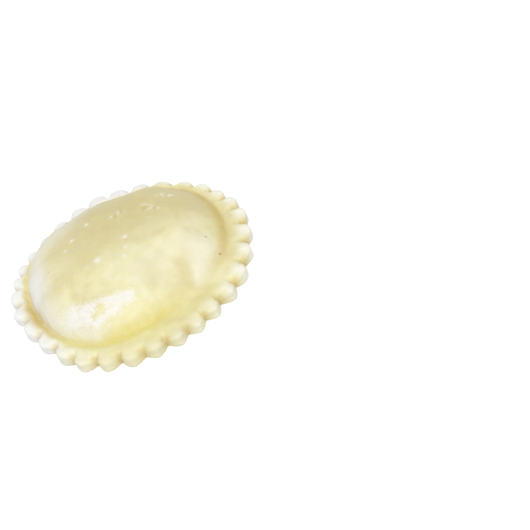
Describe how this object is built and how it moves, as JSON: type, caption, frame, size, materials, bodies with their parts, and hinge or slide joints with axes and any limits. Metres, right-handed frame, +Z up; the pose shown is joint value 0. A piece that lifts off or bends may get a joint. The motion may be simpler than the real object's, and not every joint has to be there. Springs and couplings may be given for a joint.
{
  "type": "ravioli",
  "caption": "Round filled pasta parcel with a low off-centre dome, a pressed crease at its foot and a fluted rim, resting on its flat underside.",
  "frame": {"origin": "middle of the flat underside, on the surface the parcel lies on", "axes": "+Z up through the crown of the dome, -Y towards the side that the dome leaves widest, +X to the right as seen from there"},
  "size_m": [0.0602, 0.06, 0.0111],
  "materials": {
    "egg_dough": "pale cream egg dough, satin, dusted with white flour in places"
  },
  "bodies": {
    "root": {"raviolo": "egg_dough"}
  },
  "joints": []
}
